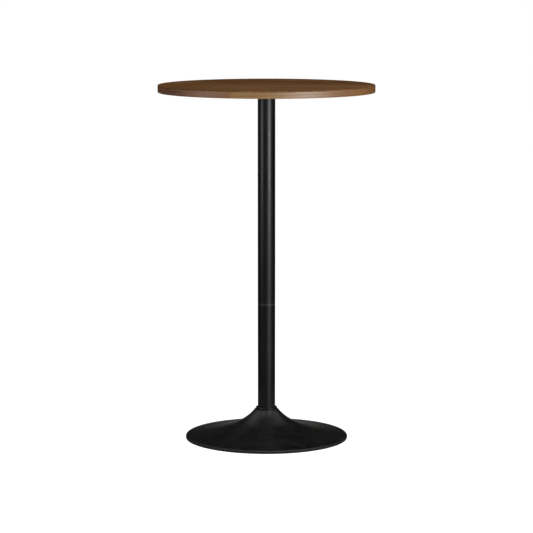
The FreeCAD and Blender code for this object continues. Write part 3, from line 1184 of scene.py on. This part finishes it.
@dataclass
class Underside:
    """Mounting plate, its screws and washers, and the bolt on the column."""

    plate_bottom: float
    washer_bottom: float
    screw_bottom: float
    screw_top: float
    screw_circle: float = 0.09
    screw_count: int = 4
    screw_radius: float = 0.003
    washer_bore: float = 0.0032
    washer_radius: float = 0.006
    head_radius: float = 0.00525
    socket_radius: float = 0.0023
    socket_depth: float = 0.002
    mouth_share: float = 1.12
    edge_ease: float = 0.00025

    @classmethod
    def from_frame(cls) -> "Underside":
        """Take the sizes from the CAD nodes."""
        screws = span_of("plate_screws")
        return cls(span_of("mounting_plate").bottom, span_of("plate_washers").bottom,
                   screws.bottom, screws.top)

    def washers(self) -> bmesh.types.BMesh:
        """Flat washers between the screw heads and the plate.

        Returns:
            The finished shape.
        """
        outline = Lathe.ring(self.washer_bore, self.washer_radius, self.washer_bottom,
                             self.plate_bottom)
        mesh = outline.spun(Facets.SMALL)
        soften_rim(mesh, self.washer_radius, self.washer_bottom, self.edge_ease)
        repeat_round(mesh, self.screw_circle, self.screw_count)
        return mesh

    def screws(self) -> bmesh.types.BMesh:
        """Button head screws with hexagon sockets, heads down.

        Returns:
            The finished shape.
        """
        height = self.washer_bottom - self.screw_bottom
        crown = (self.head_radius ** 2 + height ** 2) / (2 * height)
        mouth_radius = self.socket_radius * self.mouth_share
        widest = -math.acos(self.head_radius / crown)
        narrow = -math.acos(mouth_radius / crown)
        outline = Lathe(0.0, self.screw_top)
        outline.line(self.screw_radius - self.edge_ease, self.screw_top)
        outline.line(self.screw_radius, self.screw_top - self.edge_ease)
        outline.line(self.screw_radius, self.washer_bottom)
        outline.arc((0.0, self.screw_bottom + crown), crown, widest, narrow, Facets.FINE_ARC)
        mouth = outline.tip.co.z
        mesh = outline.spun(Facets.SMALL)
        sink_hexagon(mesh, self.socket_radius, mouth, self.screw_bottom + self.socket_depth)
        repeat_round(mesh, self.screw_circle, self.screw_count)
        return mesh

    def build(self, shop: Workshop, coat: bpy.types.Material,
              zinc: bpy.types.Material) -> list[bpy.types.Object]:
        """Make and dress the pieces under the top.

        Args:
            shop: The shared shader groups; not used.
            coat: The black coat.
            zinc: The plated steel.

        Returns:
            The pieces.
        """
        return [
            dress_node("mounting_plate", coat),
            add_piece(self.washers(), "screw_washers", zinc, "zinc_steel", "plate_washers"),
            add_piece(self.screws(), "button_screws", zinc, "zinc_steel", "plate_screws"),
            dress_node("plate_bolt", zinc),
            dress_node("joining_stud", zinc),
        ]


@dataclass
class Foot:
    """Spun shell with its rubber ring, the weight inside it and the bolt below."""

    rim_radius: float
    neck_top: float
    neck_bore: float = 0.0246
    wall: float = 0.002
    neck_radius: float = 0.0336
    neck_round: float = 0.0013
    rim_round: float = 0.004
    rim_lip: float = 0.0026
    shelf: float = 0.002
    flare_reach: float = 0.051
    flare_steps: int = 48

    @classmethod
    def from_frame(cls) -> "Foot":
        """Take the sizes from the CAD node."""
        shell = span_of("base_shell")
        return cls(shell.radius, shell.top)

    @property
    def rim_top(self) -> float:
        """Height of the upright rim, before its upper edge is rounded."""
        return self.shelf + self.rim_lip + self.rim_round

    def flare_point(self, share: float, depth: float) -> tuple[float, float]:
        """Point of the flare, which falls off as one over the distance.

        Args:
            share: 0 at the neck and 1 at the rim.
            depth: How far below the outer face the point lies.

        Returns:
            Radius and height of the point.
        """
        start = self.neck_top - self.neck_round
        near = 1.0 / (self.neck_radius + self.flare_reach)
        far = 1.0 / (self.rim_radius - self.rim_round + self.flare_reach)
        gain = (start - self.rim_top) / (near - far)
        closeness = near + share * (far - near)
        fall = gain * closeness ** 2
        stretch = math.hypot(1.0, fall)
        radius = 1.0 / closeness - self.flare_reach
        height = self.rim_top + gain * (closeness - far)
        return radius - depth * fall / stretch, height - depth / stretch

    def shell(self) -> bmesh.types.BMesh:
        """Spun sheet: flat neck, flare and rounded upright rim, with its inner wall.

        Returns:
            The finished shape.
        """
        outline = Lathe(self.neck_bore, self.neck_top)
        outline.arc((self.neck_radius - self.neck_round, self.neck_top - self.neck_round),
                    self.neck_round, QUARTER, 0.0, Facets.FINE_ARC)
        for step in range(1, self.flare_steps + 1):
            outline.line(*self.flare_point(step / self.flare_steps, 0.0))
        outline.line(self.rim_radius, self.rim_top).line(self.rim_radius, self.shelf)
        outline.line(self.rim_radius - self.wall, self.shelf)
        outline.line(self.rim_radius - self.wall, self.rim_top - self.wall)
        for step in reversed(range(self.flare_steps + 1)):
            outline.line(*self.flare_point(step / self.flare_steps, self.wall))
        outline.line(self.neck_radius - self.wall, self.neck_top - self.wall)
        outline.line(self.neck_bore, self.neck_top - self.wall).close()
        mesh = outline.spun(Facets.LARGE)
        soften_rim(mesh, self.rim_radius, self.rim_top, self.rim_round, Facets.FINE_ARC)
        return mesh

    def build(self, shop: Workshop, zinc: bpy.types.Material) -> list[bpy.types.Object]:
        """Make and dress the pieces of the foot.

        Args:
            shop: The shared shader groups.
            zinc: The plated steel.

        Returns:
            The pieces.
        """
        pieces = [
            add_piece(self.shell(), "spun_shell", BLACK_SHELL.material(shop), "black_coat",
                      "base_shell"),
            dress_node("floor_ring", RUBBER.material(shop)),
            dress_node("ballast_weight", CASTING.material(shop)),
            dress_node("hub_sleeve", bpy.data.materials[TURNED.name]),
        ]
        for node in ("base_washer", "base_spring_washer", "base_bolt"):
            pieces.append(dress_node(node, zinc))
        return pieces


def polar(azimuth: float, distance: float, height: float) -> Vector:
    """Find a point round the column, by its degrees to the right of the camera's side."""
    angle = math.radians(azimuth)
    return Vector((distance * math.sin(angle), -distance * math.cos(angle), height))


@dataclass(frozen=True)
class Lamp:
    """Soft lamp: its place seen from a height on the column's axis, and its face.

    Angles are in degrees and the radiance is how bright the face looks.
    """

    name: str
    azimuth: float
    width: float
    length: float
    radiance: float
    distance: float = 3.5
    elevation: float = 0.0
    height: float = 0.0
    target: float = 0.3
    colour: Colour = (1.0, 1.0, 1.0)

    def hang(self) -> None:
        """Hang the lamp, unseen by the camera and facing its target on the axis."""
        data = bpy.data.lights.new(self.name, "AREA")
        data.shape = "RECTANGLE"
        data.size = self.width
        data.size_y = self.length
        data.energy = self.radiance * math.pi * self.width * self.length
        data.color = self.colour
        lamp = place_object(self.name, data)
        rise = math.radians(self.elevation)
        lamp.location = polar(self.azimuth, self.distance * math.cos(rise),
                              self.height + self.distance * math.sin(rise))
        aim = Vector((0.0, 0.0, self.target)) - lamp.location
        lamp.rotation_euler = aim.to_track_quat("-Z", "Y").to_euler()
        lamp.visible_camera = False


FULL_TURN = 360.0
STREAK_DISTANCE = 1.3
KEY_AZIMUTH = 37.5
FILL_AZIMUTH = -60.6
WARM = (1.0, 0.99, 0.97)
COOL = (0.93, 0.97, 1.0)

# The first four stand close to the column and draw its two streaks
LAMPS = (
    Lamp("key_right", KEY_AZIMUTH, width=0.28, length=0.56, radiance=20.5,
         distance=STREAK_DISTANCE, height=0.8, target=0.8, colour=WARM),
    Lamp("key_low", KEY_AZIMUTH, width=0.28, length=0.38, radiance=4.8,
         distance=STREAK_DISTANCE, height=0.31, target=0.31, colour=WARM),
    Lamp("fill_left", FILL_AZIMUTH, width=0.22, length=0.58, radiance=11.0,
         distance=STREAK_DISTANCE, height=0.91, target=0.91, colour=COOL),
    Lamp("fill_low", FILL_AZIMUTH, width=0.22, length=0.48, radiance=0.5,
         distance=STREAK_DISTANCE, height=0.26, target=0.26, colour=COOL),
    Lamp("side_right", azimuth=105.0, width=2.6, length=1.8, radiance=0.8, elevation=50.0),
    Lamp("side_left", azimuth=-110.0, width=2.8, length=1.8, radiance=0.85, elevation=48.0),
    Lamp("high_right", azimuth=42.0, width=0.9, length=0.9, radiance=3.6, elevation=65.0),
    Lamp("high_left", azimuth=-42.0, width=0.9, length=0.9, radiance=3.4, elevation=65.0),
    Lamp("over_top", azimuth=0.0, width=1.0, length=0.8, radiance=10.0, distance=0.5,
         height=3.2, target=0.99),
)


@dataclass
class Studio:
    """Camera, white floor, dim room, black cards and soft lamps."""

    image_width: int = 533
    focal_pixels: float = 2313.7
    sensor_width: float = 36.0
    camera_distance: float = 6.381
    camera_height: float = 1.359
    camera_pitch: float = 7.815
    floor_radius: float = 90.0
    floor_sides: int = 96
    floor_colour: Colour = (0.3, 0.3, 0.3)
    # Glow of the floor in the table's gloss: dim near the table, which is painted shade, and
    # full further out
    shaded_near_glow: float = 0.15
    far_glow: float = 1.0
    near_distance: float = 0.24
    far_distance: float = 1.0
    sky: Colour = (0.006, 0.006, 0.006)
    horizon: Colour = (0.31, 0.265, 0.235)
    horizon_reach: float = 0.16
    card_foot: float = 0.45
    card_lean: float = 2.0
    card_top: float = 1.05
    card_gap: float = 0.12
    card_back: float = 150.0
    card_steps: int = 64
    card_colour: Colour = (0.01, 0.01, 0.01)
    key_gap: float = 14.0
    key_gap_top: float = 0.25

    def camera(self) -> None:
        """Place the camera where the photograph was taken from."""
        data = bpy.data.cameras.new("camera")
        data.sensor_width = self.sensor_width
        data.lens = self.focal_pixels * self.sensor_width / self.image_width
        data.clip_end = 2 * self.floor_radius
        camera = place_object("camera", data)
        camera.location = (0.0, -self.camera_distance, self.camera_height)
        camera.rotation_euler = (QUARTER - math.radians(self.camera_pitch), 0.0, 0.0)
        bpy.context.scene.camera = camera

    def paper(self) -> bpy.types.Material:
        """Make a floor that shows white, keeps shadows and is clear from below; in gloss it is
        dimmer near the table, which is painted shade.

        Returns:
            The finished material.
        """
        draft = start_material("floor_paper")
        draft.matte(self.floor_colour)
        sheet = draft.sheet
        path = sheet.add("ShaderNodeLightPath").outputs
        level = sheet.spread(sheet.length(draft.place), self.near_distance,
                             self.far_distance, self.shaded_near_glow, self.far_glow)
        mirrored = sheet.math("MULTIPLY", path["Is Glossy Ray"], level)
        seen = sheet.math("MAXIMUM", path["Is Camera Ray"], path["Is Transmission Ray"])
        glow = sheet.add("ShaderNodeEmission",
                         {"Strength": sheet.math("MAXIMUM", seen, mirrored)})
        both = sheet.add("ShaderNodeAddShader",
                         {0: draft.shader.outputs[0], 1: glow.outputs[0]})
        back = sheet.add("ShaderNodeNewGeometry").outputs["Backfacing"]
        clear = sheet.add("ShaderNodeBsdfTransparent")
        one_sided = sheet.add("ShaderNodeMixShader",
                              {0: back, 1: both.outputs[0], 2: clear.outputs[0]})
        sheet.feed(sheet.tree.nodes["Material Output"], {"Surface": one_sided.outputs[0]})
        return draft.material

    def floor(self) -> None:
        """Lay the floor."""
        mesh = bmesh.new()
        bmesh.ops.create_circle(mesh, cap_ends=True, segments=self.floor_sides,
                                radius=self.floor_radius)
        floor = place_mesh(mesh, "floor", self.paper())

    def world(self) -> None:
        """Fill the room with a weak light that is paler and warmer at the horizon."""
        world = bpy.data.worlds.new("room")
        world.use_nodes = True
        sheet = NodeSheet(world.node_tree)
        direction = sheet.add("ShaderNodeTexCoord").outputs["Generated"]
        rise = sheet.spread(sheet.parts(direction)["Z"], 0.0, self.horizon_reach)
        mixed = sheet.blend(rise, opaque(self.horizon), opaque(self.sky))
        sheet.feed(sheet.tree.nodes["Background"], {"Color": mixed})
        bpy.context.scene.world = world

    def card(self, name: str, velvet: bpy.types.Material, start: float, end: float,
             bottom: float) -> None:
        """Lean a black card outwards round the table, which only shows in its gloss.

        Args:
            name: Name of the card.
            velvet: Its material.
            start: Azimuth of its first edge, in degrees.
            end: Azimuth of its other edge, in degrees.
            bottom: Height of its lower edge.
        """
        mesh = bmesh.new()
        foot = mesh.verts.new(polar(start, self.card_foot + self.card_lean * bottom, bottom))
        head = mesh.verts.new(polar(start, self.card_foot + self.card_lean * self.card_top,
                                    self.card_top))
        mesh.edges.new((foot, head))
        bmesh.ops.spin(mesh, geom=mesh.verts[:] + mesh.edges[:], cent=CENTRE, axis=AXIS,
                       angle=math.radians(end - start), steps=self.card_steps,
                       use_merge=False)
        card = place_mesh(mesh, name, velvet)
        card.visible_camera = False
        card.visible_diffuse = False
        card.visible_shadow = False
        card.visible_transmission = False

    def cards(self) -> None:
        """Stand the cards, with gaps over the floor behind the table and below the key."""
        draft = start_material("card_velvet")
        draft.matte(self.card_colour)
        left = KEY_AZIMUTH - self.key_gap / 2
        right = KEY_AZIMUTH + self.key_gap / 2
        for name, start, end, bottom in (
                ("card_left", -self.card_back, left, 0.0),
                ("card_right", right, self.card_back, 0.0),
                ("card_below_key", left, right, self.key_gap_top),
                ("card_behind", self.card_back, FULL_TURN - self.card_back, self.card_gap)):
            self.card(name, draft.material, start, end, bottom)

    def build(self) -> None:
        """Set up the whole studio."""
        self.camera()
        self.floor()
        self.world()
        self.cards()
        for lamp in LAMPS:
            lamp.hang()
        bpy.context.scene.view_settings.view_transform = "Standard"


def main() -> None:
    """Build the studio and the table, sub-assembly by sub-assembly."""
    logging.basicConfig(level=logging.INFO, format="%(name)s: %(message)s")
    shop = Workshop()
    coat = BLACK_COAT.material(shop)
    zinc = ZINC.material(shop)
    Studio().build()
    pieces = Tabletop.from_frame().build(shop)
    pieces += Column.from_frame().build(shop, coat)
    pieces += Underside.from_frame().build(shop, coat, zinc)
    pieces += Foot.from_frame().build(shop, zinc)
    log.info("%d pieces", len(pieces))


if __name__ == "__main__":
    main()
